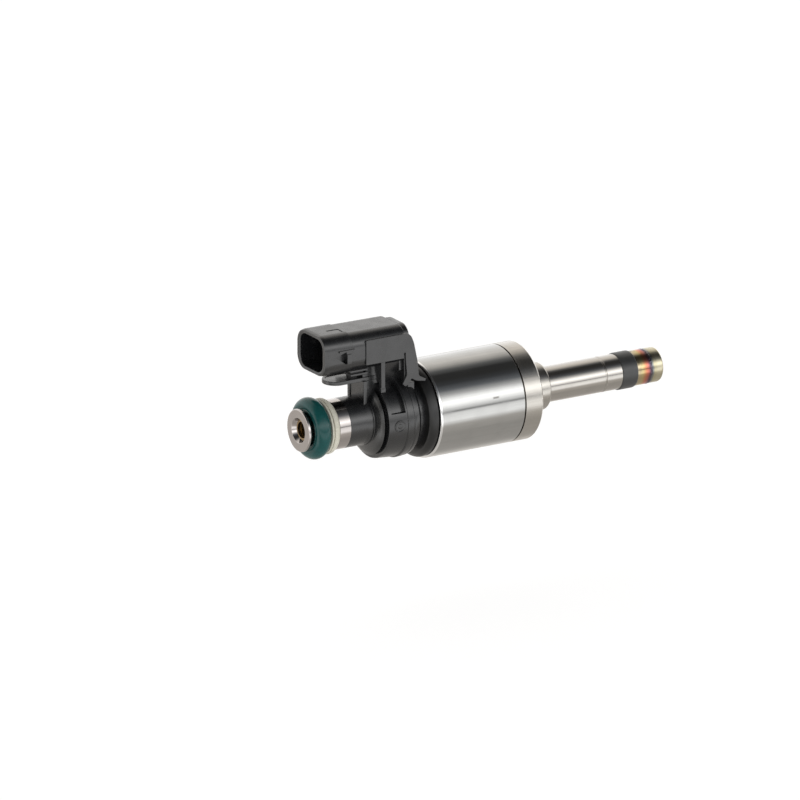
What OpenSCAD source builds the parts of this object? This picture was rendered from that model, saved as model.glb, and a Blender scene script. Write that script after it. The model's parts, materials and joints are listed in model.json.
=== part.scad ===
/* [Steel can and collar] */
// Outer diameter of the steel can and of the collar in front of it
body_d = 20.8; // [18:0.1:25]
// Length of the steel can
can_l = 20.4; // [17:0.1:26]
// Wall of the steel can
can_wall = 0.9; // [0.6:0.05:1.3]
// Length of the collar, from the can to the seating shoulder
collar_l = 4.6; // [3.6:0.1:6]
// Chamfer on the edges of the can and the collar
edge_chamfer = 0.35; // [0.2:0.05:0.5]

/* [Nozzle] */
// Length from the seating shoulder to the spray tip
nozzle_l = 33.6; // [28:0.1:42]
// Outer diameter of the nozzle tube
nozzle_d = 7.5; // [6.6:0.05:9]
// Wall of the nozzle tube
nozzle_wall = 1.15; // [0.9:0.05:1.3]
// Diameter of the neck in front of the seating shoulder
neck_d = 10.2; // [9.4:0.1:12.4]
// Length of the neck
neck_l = 5.3; // [4:0.1:7]
// How far the combustion seal stands out from the nozzle tube
seal_proud = 0.2; // [0.1:0.05:0.5]
// Width of the combustion seal
seal_w = 3.7; // [2.6:0.1:4.6]
// Distance from the combustion seal to the spray tip
seal_to_tip = 6.4; // [5.4:0.1:8]
// Length of the valve seat piece that shows at the tip
tip_l = 3; // [2.8:0.1:3.6]

/* [Inlet end] */
// Diameter of the steel inlet tube and of the plastic sleeve behind it
inlet_d = 10.6; // [9.8:0.1:13]
// Visible length of the steel inlet tube
inlet_tube_l = 2.8; // [2.3:0.1:6]
// Length of the plastic sleeve
sleeve_l = 5.75; // [4.5:0.05:7.5]
// Diameter of the stem under the plastic sleeve
stem_d = 8.6; // [7.8:0.1:9.4]
// Diameter of the land at the inlet face
land_d = 9.14; // [7.6:0.1:9.6]
// Length of the land at the inlet face
land_l = 1.35; // [1:0.05:2.4]
// Diameter of the fuel passage
passage_d = 4.2; // [3.6:0.1:4.6]
// Section of the rail O-ring
o_ring_section = 3.53; // [3:0.01:4]
// Inner diameter of the rail O-ring
o_ring_id = 6.04; // [5.4:0.01:7]
// Outer diameter of the back-up ring
backup_d = 11.8; // [11:0.1:13.8]
// Width of the back-up ring
backup_w = 1.9; // [1.2:0.05:2.4]

/* [Plastic moulding] */
// Length of the drum between the sleeve and the steel can
drum_l = 13.1; // [11.5:0.1:17]
// How far the drum's front band is below the can's surface
drum_front_step = 1.3; // [1:0.1:1.8]
// How far the drum's rear band is below the can's surface
drum_rear_step = 1.8; // [1.8:0.1:2.6]
// Width of the connector shroud
shroud_w = 11.6; // [10.4:0.1:14]
// Height of the connector shroud
shroud_h = 8.75; // [7.8:0.05:10]
// Length of the connector shroud
shroud_l = 19.5; // [17.5:0.1:23.5]
// Corner radius of the connector shroud
shroud_corner = 3; // [2.4:0.1:3.5]
// Wall of the connector shroud above and below the socket
shroud_wall = 0.85; // [0.7:0.05:1.2]
// Wall of the connector shroud beside the socket
shroud_side_wall = 1.4; // [1.1:0.05:1.6]
// Depth of the connector socket
socket_depth = 11; // [9.5:0.1:13]
// How far the connector's centre is above the can's surface
shroud_lift = 5.97; // [5.8:0.01:8]
// Thickness of the side plates on the connector
side_plate_t = 0.5; // [0.4:0.05:0.8]

/* [Terminals] */
// Distance between the two terminal pins
pin_pitch = 4; // [3:0.1:4.6]
// Width of a terminal pin
pin_w = 1.2; // [0.9:0.05:1.6]
// Thickness of a terminal pin
pin_t = 0.6; // [0.5:0.05:0.8]
// How far the pins' ends are behind the socket's mouth
pin_recess = 4.6; // [4.4:0.1:6]
// Height of the pins where they enter the coil
pin_low_z = 7; // [6.6:0.1:7.2]

/* [Valve] */
// Outer diameter of the pole core
pole_d = 9.8; // [9.4:0.05:10.4]
// Bore of the pole core
pole_bore_d = 3.8; // [3.6:0.05:4.2]
// Lift of the needle
needle_lift = 0.08; // [0.05:0.01:0.12]
// Free travel of the armature on the needle
free_travel = 0.05; // [0.03:0.01:0.08]
// Diameter of the needle rod
needle_d = 2; // [1.8:0.05:2.2]
// Diameter of the valve ball
ball_d = 3; // [2.7:0.05:3.2]
// Length of the armature
armature_l = 5; // [4.2:0.1:6]
// Wire of the closing spring
spring_wire = 0.55; // [0.4:0.05:0.6]
// Number of turns of the closing spring
spring_turns = 8; // [6:1:10]
// Number of spray holes
spray_holes = 6; // [4:1:8]

/* [Clearances] */
// Radial running clearance of the armature and the needle
running_gap = 0.05; // [0.03:0.01:0.08]
// Gap left between the armature and the pole at full lift
pole_gap = 0.02; // [0.02:0.01:0.05]
// Gap between the ball and its seat
seat_gap = 0.02; // [0.01:0.01:0.03]
// Gap around a piece that is laid in loosely
loose_gap = 0.1; // [0.05:0.05:0.2]

/* [Hidden] */
fine = 96;
eps = 0.01;

// Radii
body_r = body_d / 2;
can_inner_r = body_r - can_wall;
nozzle_r = nozzle_d / 2;
nozzle_bore_r = nozzle_r - nozzle_wall;
neck_r = neck_d / 2;
inlet_r = inlet_d / 2;
stem_r = stem_d / 2;
land_r = land_d / 2;
passage_r = passage_d / 2;
gland_r = o_ring_id / 2;
pole_r = pole_d / 2;
pole_bore_r = pole_bore_d / 2;
needle_r = needle_d / 2;
ball_r = ball_d / 2;
drum_front_r = body_r - drum_front_step;
drum_rear_r = body_r - drum_rear_step;

// Stations along X, from the seating shoulder at 0. The inlet is at -X and the tip at +X.
can_front = -collar_l;
can_rear = can_front - can_l;
drum_rear = can_rear - drum_l;
sleeve_rear = drum_rear - sleeve_l;
gland_front = sleeve_rear - inlet_tube_l;
o_ring_gap = 0.03;
o_ring_x = gland_front - backup_w - o_ring_section / 2 - o_ring_gap;
gland_rear = o_ring_x - o_ring_section / 2 - o_ring_gap;
inlet_x = gland_rear - land_l;
tip_x = nozzle_l;
seat_weld = tip_x - tip_l;
seal_front = tip_x - seal_to_tip;
seal_rear = seal_front - seal_w;

// The coil, between the cover plate and the collar's spigot
spigot_l = 2.8;
cover_t = 1.6;
cover_inset = 0.4;
cover_rear = can_rear + cover_inset;
coil_rear = cover_rear + cover_t;
coil_front = can_front - spigot_l;
flange_t = 1;
bobbin_tube_t = 0.9;
bobbin_bore_r = pole_r + loose_gap;
flange_r = can_inner_r - 2 * loose_gap;
winding_r = flange_r - 0.4;

// The magnetic circuit
ring_wall = 0.6;
ring_l = 3;
pole_spigot_l = 0.8;
ring_rear = coil_rear + (coil_front - coil_rear) * 0.32;
ring_front = ring_rear + ring_l;
chamber_r = pole_r - ring_wall;
pole_face = ring_rear + pole_spigot_l;
pole_rear = drum_rear + 9;
armature_r = chamber_r - running_gap;
armature_rear = pole_face + pole_gap + needle_lift + free_travel;
armature_front = armature_rear + armature_l;
chamber_front = armature_front + 2.4;

// The stops on the needle, and the springs
stop_boss_r = 1.25;
stop_flange_r = pole_bore_r - 2 * loose_gap;
stop_flange_t = 0.7;
pocket_depth = 1.2;
pocket_r = pole_bore_r;
boss_front = armature_rear + pocket_depth - free_travel;
flange_front = pole_face - loose_gap;
flange_rear = flange_front - stop_flange_t;
needle_rear = flange_rear - 0.5;
lower_stop_l = 1;
lower_stop_r = 1.9;
damper_wire = 0.22;
damper_r = stop_boss_r + damper_wire / 2 + loose_gap;
spring_r = needle_r + spring_wire / 2 + loose_gap;
spring_l = 9;
adjuster_front = flange_rear - spring_l;
adjuster_l = 6;
adjuster_wall = 0.5;

// The ball and its seat
ball_x = seat_weld - 0.4;
guide_r = ball_r + running_gap;
seat_spigot_l = 3;
sac_r = 0.5;
cone_r_at_ball = (ball_r + seat_gap) * sqrt(2);
cone_rear = ball_x + cone_r_at_ball - guide_r;
cone_front = ball_x + cone_r_at_ball - sac_r;
sac_front = cone_front + 0.35;
recess_r = 1.3;
plate_t = 0.4;
spray_r = 0.1;
spray_tilt = 16;

// The connector
shroud_z = body_r + shroud_lift;
shroud_front = can_rear - 5.9;
shroud_rear = shroud_front - shroud_l;
socket_front = shroud_rear + socket_depth;
socket_corner = shroud_corner - shroud_wall;
pin_rear = shroud_rear + pin_recess;
pin_leg_x = shroud_front - 2;
pin_front = coil_rear + flange_t - 0.1;
shroud_bottom = shroud_z - shroud_h / 2;
tongue_t = 0.8;
tongue_z = shroud_bottom - 2.9;
tongue_half_w = 2.8;
tongue_rear = shroud_rear + 3.1;
pedestal_rear = drum_rear - 1.3;
lip_rear = shroud_rear + 7.8;
seal_r = nozzle_r + seal_proud;
side_y = shroud_w / 2 - 0.3;
side_out_y = shroud_w / 2 + side_plate_t - 0.3;

// Revolves an outline of [x, radius] points about the X axis
module turned(points) rotate([0, 90, 0]) rotate_extrude($fn = fine) polygon([for (p = points) [p[1], p[0]]]);

// A bar of circular section along X
module rod(x0, x1, r) translate([x0, 0, 0]) rotate([0, 90, 0]) cylinder(h = x1 - x0, r = r, $fn = fine);

// A tube along X
module pipe(x0, x1, r, bore) difference() {
    rod(x0, x1, r);
    rod(x0 - 1, x1 + 1, bore);
}

// A block between two corners
module block(low, high) translate(low) cube(high - low);

// Points of an arc in an [x, radius] outline
function arc(x, r, size, from, to, steps = 6) =
    [for (i = [0:steps]) let (a = from + (to - from) * i / steps) [x + size * cos(a), r + size * sin(a)]];

// A rectangle in YZ with round corners, drawn along X
module rounded_bar(x0, x1, z, w, h, corner) translate([x0, 0, z]) rotate([90, 0, 90])
    linear_extrude(x1 - x0) rounded_outline(w, h, corner);

module rounded_outline(w, h, corner) {
    square([w - 2 * corner, h], center = true);
    square([w, h - 2 * corner], center = true);
    for (y = [-1, 1], z = [-1, 1])
        translate([y * (w / 2 - corner), z * (h / 2 - corner)]) circle(corner, $fn = 48);
}

// A wire coiled about the X axis, with its end turns flattened to one plane
module coil(x0, x1, r, wire, turns, sides = 6, per_turn = 16) {
    steps = turns * per_turn;
    low = x0 + wire / 2;
    rise = x1 - x0 - wire;
    function along(t) = low + rise * max(0, min(1, (t * turns - 0.75) / (turns - 1.5)));
    rings = [for (i = [0:steps], j = [0:sides - 1])
        let (a = 360 * i / per_turn, b = 360 * j / sides, d = r + wire / 2 * cos(b))
        [along(i / steps) + wire / 2 * sin(b), d * cos(a), d * sin(a)]];
    walls = [for (i = [0:steps - 1], j = [0:sides - 1])
        let (k = (j + 1) % sides)
        [i * sides + j, i * sides + k, (i + 1) * sides + k, (i + 1) * sides + j]];
    ends = [[for (j = [sides - 1:-1:0]) j], [for (j = [0:sides - 1]) steps * sides + j]];
    polyhedron(rings, concat(ends, walls), convexity = 8);
}

module inlet_tube() color("silver") difference() {
    union() {
        turned(concat(
            [[inlet_x, 0], [inlet_x, land_r - 0.3]],
            arc(inlet_x + 0.3, land_r - 0.3, 0.3, 180, 90),
            [[gland_rear, land_r], [gland_rear, gland_r], [gland_front, gland_r]],
            [[gland_front, inlet_r - 0.25], [gland_front + 0.25, inlet_r], [sleeve_rear, inlet_r]],
            [[sleeve_rear, stem_r], [pole_rear, stem_r], [pole_rear, 0]]
        ));
    }
    turned([
        [inlet_x - 1, 0], [inlet_x - 1, passage_r + 1.6], [inlet_x + 0.6, passage_r],
        [pole_rear - 6, passage_r], [pole_rear - 5.6, pole_bore_r], [pole_rear + 1, pole_bore_r],
        [pole_rear + 1, 0]
    ]);
}

module rail_o_ring() color("#2f7f7f") translate([o_ring_x, 0, 0]) rotate([0, 90, 0])
    rotate_extrude($fn = fine) translate([gland_r + o_ring_section / 2, 0])
        circle(o_ring_section / 2, $fn = 48);

module backup_ring() color("#cfcdb8") turned([
    [gland_front - backup_w, gland_r], [gland_front - backup_w, backup_d / 2 - 0.1],
    [gland_front - backup_w + 0.1, backup_d / 2], [gland_front - 0.1, backup_d / 2],
    [gland_front, backup_d / 2 - 0.1], [gland_front, gland_r]
]);

// The strainer's brass cage has four windows, and the mesh lies inside it
cage_rear = inlet_x + 0.9;
cage_l = 9;
cage_wall = 0.35;
mesh_wall = 0.12;
module strainer_cage() color("#b08d3c") difference() {
    pipe(cage_rear, cage_rear + cage_l, passage_r, passage_r - cage_wall);
    for (a = [0, 90])
        rotate([a + 45, 0, 0])
            block([cage_rear + 1.6, -0.8, -passage_r - 1], [cage_rear + cage_l - 1.2, 0.8, passage_r + 1]);
}

module strainer_mesh() color("#9b8a58") difference() {
    rod(cage_rear + 0.8, cage_rear + cage_l - 0.4, passage_r - cage_wall);
    rod(cage_rear, cage_rear + cage_l - 0.4 - mesh_wall, passage_r - cage_wall - mesh_wall);
}

// The drum's outline: a sloping shoulder, a groove, two bands and the waist behind the can.
// A window in the rear band runs over the top from side to side.
shoulder_r = drum_rear_r - 0.9;
groove_x = drum_rear + 1.3;
groove_w = 0.7;
groove_r = shoulder_r - 0.55;
band_x = drum_rear + 5.9;
waist_x = can_rear - 3.2;
waist_r = drum_front_r - 0.8;
seal_ring_x = can_rear - 2.2;
seal_ring_bore_r = waist_r;
window_z = 2.7;
window_rear = groove_x + groove_w + 0.3;
window_front = band_x - 0.3;
window_r = drum_rear_r - 0.7;
module drum() difference() {
    turned(concat(
        [[sleeve_rear, stem_r], [sleeve_rear, inlet_r], [drum_rear, inlet_r], [drum_rear + 0.2, inlet_r + 0.5]],
        [[groove_x - 0.35, shoulder_r - 0.15], [groove_x - 0.1, shoulder_r], [groove_x, shoulder_r]],
        [[groove_x, groove_r], [groove_x + groove_w, groove_r]],
        [[groove_x + groove_w, drum_rear_r - 0.2], [groove_x + groove_w + 0.2, drum_rear_r]],
        [[band_x - 0.15, drum_front_r - 0.2], [band_x, drum_front_r - 0.2], [band_x + 0.2, drum_front_r]],
        [[waist_x - 0.1, drum_front_r - 0.25], [waist_x, drum_front_r - 0.35], [waist_x, waist_r]],
        [[can_rear, waist_r], [can_rear, can_inner_r], [cover_rear, can_inner_r], [cover_rear, pole_r]],
        [[pole_rear, pole_r], [pole_rear, stem_r]]
    ));
    difference() {
        block([window_rear, -body_r, window_z], [window_front, body_r, body_r]);
        rod(window_rear - 1, window_front + 1, window_r);
    }
    for (side = [-1, 1])
        mirror([0, side < 0 ? 0 : 1, 0])
            translate([drum_rear + 4.1, -drum_rear_r - 0.05, 0]) rotate([90, 0, 0])
                cylinder(h = 1, r = 1.25, $fn = 48);
}

// The pedestal that carries the connector, the web and lip under the shroud, and two corner ribs
module pedestal() {
    block([pedestal_rear, -tongue_half_w, 0], [shroud_front, tongue_half_w, shroud_z]);
    block([drum_rear + 2, -tongue_half_w - 1.5, 0], [shroud_front, tongue_half_w + 1.5, shroud_z - 1]);
    block([lip_rear, 0.5 - tongue_half_w, tongue_z], [shroud_front, tongue_half_w - 0.5, shroud_z]);
    block(
        [lip_rear, -tongue_half_w - 0.3, shroud_bottom - 1.1],
        [lip_rear + 4.2, tongue_half_w + 0.3, shroud_bottom + 1]
    );
    for (side = [-1, 1])
        block(
            [pedestal_rear - 0.2, side * tongue_half_w - 0.5, 0],
            [pedestal_rear + 0.7, side * tongue_half_w + 0.5, tongue_z + eps]
        );
}

// The plate under the connector, with a round end
module tongue() translate([0, 0, tongue_z]) linear_extrude(tongue_t) {
    translate([tongue_rear + tongue_half_w, -tongue_half_w])
        square([drum_rear + 3 - tongue_rear - tongue_half_w, 2 * tongue_half_w]);
    translate([tongue_rear + tongue_half_w, 0]) circle(tongue_half_w, $fn = 64);
}

// A side plate lies on the shroud, and its leg comes down to the drum's front band in a forked foot
plate_rear = shroud_front - 9.7;
plate_low = shroud_z - 2.75;
plate_high = shroud_z + 2.6;
slit_x = shroud_front - 0.5;
slit_w = 0.35;
slit_top = plate_low + 1.2;
foot_z = drum_front_r - 1.2;
module side_plate() translate([0, -side_y, 0]) rotate([90, 0, 0]) {
    linear_extrude(side_out_y - side_y) {
        difference() {
            union() {
                translate([plate_rear, plate_low])
                    square([shroud_front + 0.4 - plate_rear, plate_high - plate_low]);
                polygon([
                    [slit_x, plate_high], [shroud_front + 0.4, plate_high],
                    [shroud_front + 1.3, plate_high - 0.8], [shroud_front + 1.9, shroud_z + 0.3],
                    [shroud_front + 2.8, shroud_z - 4], [shroud_front + 3.1, foot_z + 1.4],
                    [shroud_front + 4.8, foot_z + 0.5], [shroud_front + 4.6, foot_z],
                    [shroud_front + 2.4, foot_z + 0.4], [shroud_front + 1.3, foot_z + 1.1],
                    [shroud_front + 0.6, foot_z - 0.3], [shroud_front - 0.9, foot_z + 0.1],
                    [shroud_front + 0.2, foot_z + 2], [slit_x + slit_w, plate_low], [slit_x, plate_low]
                ]);
            }
            translate([slit_x, plate_low - 1]) square([slit_w, slit_top - plate_low + 1]);
        }
    }
}

// The leg's root joins the plate to the moulding behind it, and a lug stands under its forked foot
module leg_root(side) {
    block(
        [shroud_front - 0.2, min(0, side * side_y), foot_z + 1.4],
        [shroud_front + 1.6, max(0, side * side_y), shroud_z - 1]
    );
    block(
        [shroud_front + 0.7, side * (side_y - 0.7) - 0.7, 0],
        [shroud_front + 2.3, side * (side_y - 0.7) + 0.7, foot_z + 0.1]
    );
}

// A slim post between the side plate and the drum
post_x = drum_rear + 1.2;
module side_post(side) block(
    [post_x, side * (side_y - 0.6) - 0.5, 0],
    [post_x + 1, side * (side_y - 0.6) + 0.5, plate_low + 0.5]
);

module terminal_shape(side, gap) {
    y0 = side * pin_pitch / 2 - pin_w / 2 - gap;
    y1 = side * pin_pitch / 2 + pin_w / 2 + gap;
    block([pin_rear, y0, shroud_z - pin_t / 2 - gap], [pin_leg_x, y1, shroud_z + pin_t / 2 + gap]);
    block(
        [pin_leg_x - pin_t - gap, y0, pin_low_z - pin_t / 2 - gap],
        [pin_leg_x + gap, y1, shroud_z + pin_t / 2 + gap]
    );
    block([pin_leg_x - pin_t, y0, pin_low_z - pin_t / 2 - gap], [pin_front, y1, pin_low_z + pin_t / 2 + gap]);
}

// The moulding is one piece: sleeve, drum, pedestal, connector shroud, tongue, plates and posts
module connector_housing() color("#3b3c3e") difference() {
    union() {
        drum();
        difference() {
            union() {
                pedestal();
                tongue();
                rounded_bar(shroud_rear, shroud_front, shroud_z, shroud_w, shroud_h, shroud_corner);
                rounded_bar(
                    shroud_front, shroud_front + 1.7, shroud_z, shroud_w - 2.2, shroud_h - 1.3,
                    min(shroud_corner + 0.4, shroud_h / 2 - 0.7)
                );
                for (side = [-1, 1]) {
                    mirror([0, side < 0 ? 0 : 1, 0]) side_plate();
                    leg_root(side);
                    side_post(side);
                }
            }
            rod(sleeve_rear - 20, groove_x - 0.4, inlet_r - eps);
            rod(drum_rear, can_rear + 9, groove_r - 0.4);
            turned([
                [waist_x - eps, 0], [waist_x - eps, waist_r + eps], [seal_ring_x, waist_r + eps],
                [seal_ring_x, body_r - 0.1], [can_rear + 9, body_r - 0.1], [can_rear + 9, 0]
            ]);
        }
    }
    rounded_bar(
        shroud_rear - 1, socket_front, shroud_z, shroud_w - 2 * shroud_side_wall,
        shroud_h - 2 * shroud_wall, socket_corner
    );
    for (side = [-1, 1]) terminal_shape(side, 0);
}

module terminal_pin_left() color("#c9ccd0") terminal_shape(-1, 0);
module terminal_pin_right() color("#c9ccd0") terminal_shape(1, 0);

module coil_bobbin() color("#5a4a3a") difference() {
    union() {
        rod(coil_rear, coil_front, bobbin_bore_r + bobbin_tube_t);
        rod(coil_rear, coil_rear + flange_t, flange_r);
        rod(coil_front - flange_t, coil_front, flange_r);
    }
    rod(coil_rear - 1, coil_front + 1, bobbin_bore_r);
    for (side = [-1, 1]) terminal_shape(side, 0);
}

module coil_winding() color("#b5652d")
    pipe(coil_rear + flange_t, coil_front - flange_t, winding_r, bobbin_bore_r + bobbin_tube_t);

module cover_plate() color("gray") difference() {
    pipe(cover_rear, coil_rear, can_inner_r, pole_r);
    for (side = [-1, 1]) terminal_shape(side, loose_gap);
}

module magnet_housing() color("silver") turned([
    [can_rear, can_inner_r], [can_rear, body_r - edge_chamfer], [can_rear + edge_chamfer, body_r],
    [can_front - 0.15, body_r], [can_front, body_r - 0.15], [can_front, can_inner_r]
]);

module housing_seal_ring() color("#1d1e20") turned([
    [seal_ring_x, seal_ring_bore_r], [seal_ring_x, body_r - 1.3], [seal_ring_x + 0.3, body_r - 1],
    [can_rear - 0.5, body_r - 0.4], [can_rear, body_r - 0.55], [can_rear, seal_ring_bore_r]
]);

// Collar, neck and the tube that the armature runs in are one turned piece
rebate_w = 0.25;
neck_round = neck_r - nozzle_r;
module lower_housing() color("#c8c5bd") difference() {
    turned(concat(
        [[ring_front, 0], [ring_front, pole_r], [coil_front, pole_r], [coil_front, can_inner_r]],
        [[can_front, can_inner_r], [can_front, body_r - 0.3], [can_front + rebate_w, body_r - 0.3]],
        [[can_front + rebate_w, body_r], [-edge_chamfer, body_r], [0, body_r - edge_chamfer]],
        [[0, neck_r]],
        arc(neck_l - neck_round, neck_r - neck_round, neck_round, 90, 0),
        [[neck_l, 0]]
    ));
    rod(ring_front - 1, chamber_front, chamber_r);
    rod(chamber_front - 1, neck_l + 1, nozzle_r);
}

module non_magnetic_ring() color("#a9a48c") pipe(ring_rear, ring_front, pole_r, chamber_r);

module pole_core() color("#b9bbbd") difference() {
    union() {
        rod(pole_rear, ring_rear, pole_r);
        rod(ring_rear, pole_face, chamber_r);
    }
    rod(pole_rear - 1, pole_face + 1, pole_bore_r);
}

module adjusting_sleeve() color("#9a9c9f")
    pipe(adjuster_front - adjuster_l, adjuster_front, pole_bore_r, pole_bore_r - adjuster_wall);

module closing_spring() color("#8f9296") coil(adjuster_front, flange_rear, spring_r, spring_wire, spring_turns);

// A fine groove marks the weld between the tube and its front sleeve, and the seal has its own groove
weld_x = seal_rear - 3.9;
module nozzle_tube() color("#cfccc4") turned([
    [chamber_front, nozzle_bore_r], [chamber_front, nozzle_r],
    [weld_x - 0.15, nozzle_r], [weld_x - 0.1, nozzle_r - 0.12], [weld_x + 0.1, nozzle_r - 0.12],
    [weld_x + 0.15, nozzle_r], [seal_rear, nozzle_r], [seal_rear, nozzle_r - 0.4],
    [seal_front, nozzle_r - 0.4], [seal_front, nozzle_r - 0.05], [seat_weld, nozzle_r - 0.05],
    [seat_weld, nozzle_bore_r]
]);

module needle_guide() color("#8c8f93") difference() {
    pipe(neck_l + 1, neck_l + 3, nozzle_bore_r, needle_r + running_gap);
    for (a = [0:90:270])
        rotate([a, 0, 0]) translate([0, (nozzle_bore_r + needle_r) / 2, 0]) rod(neck_l, neck_l + 4, 0.4);
}

module combustion_seal() color("#2a2b2d") pipe(seal_rear, seal_front, seal_r, nozzle_r - 0.4);

module valve_seat() color("#d8c79a") difference() {
    turned(concat(
        [[seat_weld - seat_spigot_l, 0], [seat_weld - seat_spigot_l, nozzle_bore_r]],
        [[seat_weld, nozzle_bore_r], [seat_weld, nozzle_r - 0.2], [seat_weld + 0.25, nozzle_r - 0.07]],
        arc(tip_x - 0.5, nozzle_r - 0.57, 0.5, 90, 0),
        [[tip_x, recess_r + 0.3], [tip_x - 0.3, recess_r], [sac_front + plate_t, recess_r]],
        [[sac_front + plate_t, 0]]
    ));
    turned([
        [seat_weld - seat_spigot_l - 1, 0], [seat_weld - seat_spigot_l - 1, guide_r],
        [cone_rear, guide_r], [cone_front, sac_r], [sac_front, sac_r], [sac_front, 0]
    ]);
    for (a = [45:90:315])
        rotate([a, 0, 0]) translate([0, guide_r, 0]) rod(seat_weld - seat_spigot_l - 1, ball_x, 0.45);
    for (i = [0:spray_holes - 1])
        rotate([360 * i / spray_holes, 0, 0]) translate([sac_front - 0.15, 0.24, 0]) rotate([0, 0, spray_tilt])
            rod(0, plate_t + 0.6, spray_r);
}

module armature() color("#a7a9ac") difference() {
    rod(armature_rear, armature_front, armature_r);
    rod(armature_rear - 1, armature_front + 1, needle_r + running_gap);
    rod(armature_rear - 1, armature_rear + pocket_depth, pocket_r);
    for (a = [0:60:300])
        rotate([a, 0, 0]) translate([0, (pocket_r + armature_r) / 2, 0])
            rod(armature_rear - 1, armature_front + 1, 0.45);
}

module armature_spring() color("#8f9296")
    coil(flange_front, armature_rear + pocket_depth, damper_r, damper_wire, 3);

module upper_stop() color("#b4b6b9") difference() {
    union() {
        rod(flange_rear, flange_front, stop_flange_r);
        rod(flange_rear, boss_front, stop_boss_r);
    }
    rod(flange_rear - 1, boss_front + 1, needle_r);
}

module lower_stop() color("#b4b6b9")
    pipe(armature_front, armature_front + lower_stop_l, lower_stop_r, needle_r);

module needle_rod() color("#c3c5c8") difference() {
    rod(needle_rear, ball_x, needle_r);
    translate([ball_x, 0, 0]) sphere(ball_r, $fn = fine);
}

module valve_ball() color("#d5d7da") translate([ball_x, 0, 0]) sphere(ball_r, $fn = fine);

inlet_tube();
rail_o_ring();
backup_ring();
strainer_cage();
strainer_mesh();
connector_housing();
terminal_pin_left();
terminal_pin_right();
coil_bobbin();
coil_winding();
cover_plate();
magnet_housing();
housing_seal_ring();
lower_housing();
non_magnetic_ring();
pole_core();
adjusting_sleeve();
closing_spring();
nozzle_tube();
needle_guide();
combustion_seal();
valve_seat();
armature();
armature_spring();
upper_stop();
lower_stop();
needle_rod();
valve_ball();
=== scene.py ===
import json
from math import atan2, cos, hypot, pi, radians, sin

import bmesh
import bpy
from mathutils import Matrix, Vector


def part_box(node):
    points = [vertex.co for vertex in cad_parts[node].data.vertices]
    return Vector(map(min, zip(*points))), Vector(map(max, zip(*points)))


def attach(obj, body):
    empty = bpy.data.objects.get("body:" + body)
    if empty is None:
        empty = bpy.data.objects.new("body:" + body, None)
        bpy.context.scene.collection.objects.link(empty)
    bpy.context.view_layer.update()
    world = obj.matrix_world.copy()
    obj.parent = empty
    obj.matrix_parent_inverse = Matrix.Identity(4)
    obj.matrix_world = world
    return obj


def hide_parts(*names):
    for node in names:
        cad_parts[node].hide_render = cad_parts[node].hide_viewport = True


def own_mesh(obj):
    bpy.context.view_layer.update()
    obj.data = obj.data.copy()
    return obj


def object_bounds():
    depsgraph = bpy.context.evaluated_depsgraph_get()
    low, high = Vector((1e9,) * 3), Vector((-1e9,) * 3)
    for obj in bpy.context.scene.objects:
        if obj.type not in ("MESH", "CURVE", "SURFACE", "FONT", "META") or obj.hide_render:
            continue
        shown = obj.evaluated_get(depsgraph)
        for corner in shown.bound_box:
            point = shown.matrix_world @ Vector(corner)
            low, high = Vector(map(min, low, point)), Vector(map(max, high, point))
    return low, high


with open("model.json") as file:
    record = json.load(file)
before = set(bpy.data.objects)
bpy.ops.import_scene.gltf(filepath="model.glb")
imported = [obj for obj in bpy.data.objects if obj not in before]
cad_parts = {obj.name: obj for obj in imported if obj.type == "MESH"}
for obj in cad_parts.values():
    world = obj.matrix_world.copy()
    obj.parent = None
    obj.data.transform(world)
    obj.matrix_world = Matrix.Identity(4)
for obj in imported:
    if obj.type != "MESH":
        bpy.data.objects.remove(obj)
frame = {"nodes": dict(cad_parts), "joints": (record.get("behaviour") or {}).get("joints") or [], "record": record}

cad_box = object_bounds()
MM = 0.001
BODY = "injector_body"
STEPS = 144  # faces around a turned piece


# ---------------------------------------------------------------- camera, light and floor

def aim_camera():
    """A long lens, level, that looks at the injector from beside its inlet."""
    azimuth, elevation = radians(-31.48), radians(17.78)
    back = Vector((sin(azimuth) * cos(elevation), -cos(azimuth) * cos(elevation), sin(elevation)))
    right = Vector((cos(azimuth), sin(azimuth), 0))
    up = back.cross(right)
    distance, view_width, sensor = 5.0, 166.3 * MM, 36
    mid_length, aside, below = 9.9 * MM, 16.1 * MM, 0.6 * MM
    middle = Vector((-mid_length, 0, 0)) - aside * right - below * up
    lens = bpy.data.cameras.new("long_lens")
    lens.sensor_width = sensor
    lens.lens = sensor * distance / view_width
    lens.clip_end = 20
    camera = bpy.data.objects.new("camera", lens)
    turn = Matrix((right, up, back)).transposed()
    camera.matrix_world = Matrix.Translation(middle + distance * back) @ turn.to_4x4()
    bpy.context.collection.objects.link(camera)
    bpy.context.scene.camera = camera


class Wire:
    """An output of a node. Arithmetic on it adds Math nodes to its material."""

    def __init__(self, finish, socket):
        self.finish = finish
        self.socket = socket

    def maths(self, operation, *values):
        return self.finish.node("Math", list(values), operation=operation)

    def __add__(self, other):
        return self.maths("ADD", self, other)

    def __sub__(self, other):
        return self.maths("SUBTRACT", self, other)

    def __rsub__(self, other):
        return self.maths("SUBTRACT", other, self)

    def __mul__(self, other):
        return self.maths("MULTIPLY", self, other)

    def __truediv__(self, other):
        return self.maths("DIVIDE", self, other)

    def __pow__(self, other):
        return self.maths("POWER", self, other)

    def __abs__(self):
        return self.maths("ABSOLUTE", self)

    __radd__ = __add__
    __rmul__ = __mul__

    def ramp(self, low, high):
        """0 up to low, 1 from high on, and smooth between them."""
        return self.finish.node(
            "MapRange", {"Value": self, "From Min": low, "From Max": high}, interpolation_type="SMOOTHSTEP"
        )

    def most(self, other):
        """The larger of this and another value."""
        return self.maths("MAXIMUM", self, other)


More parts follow.
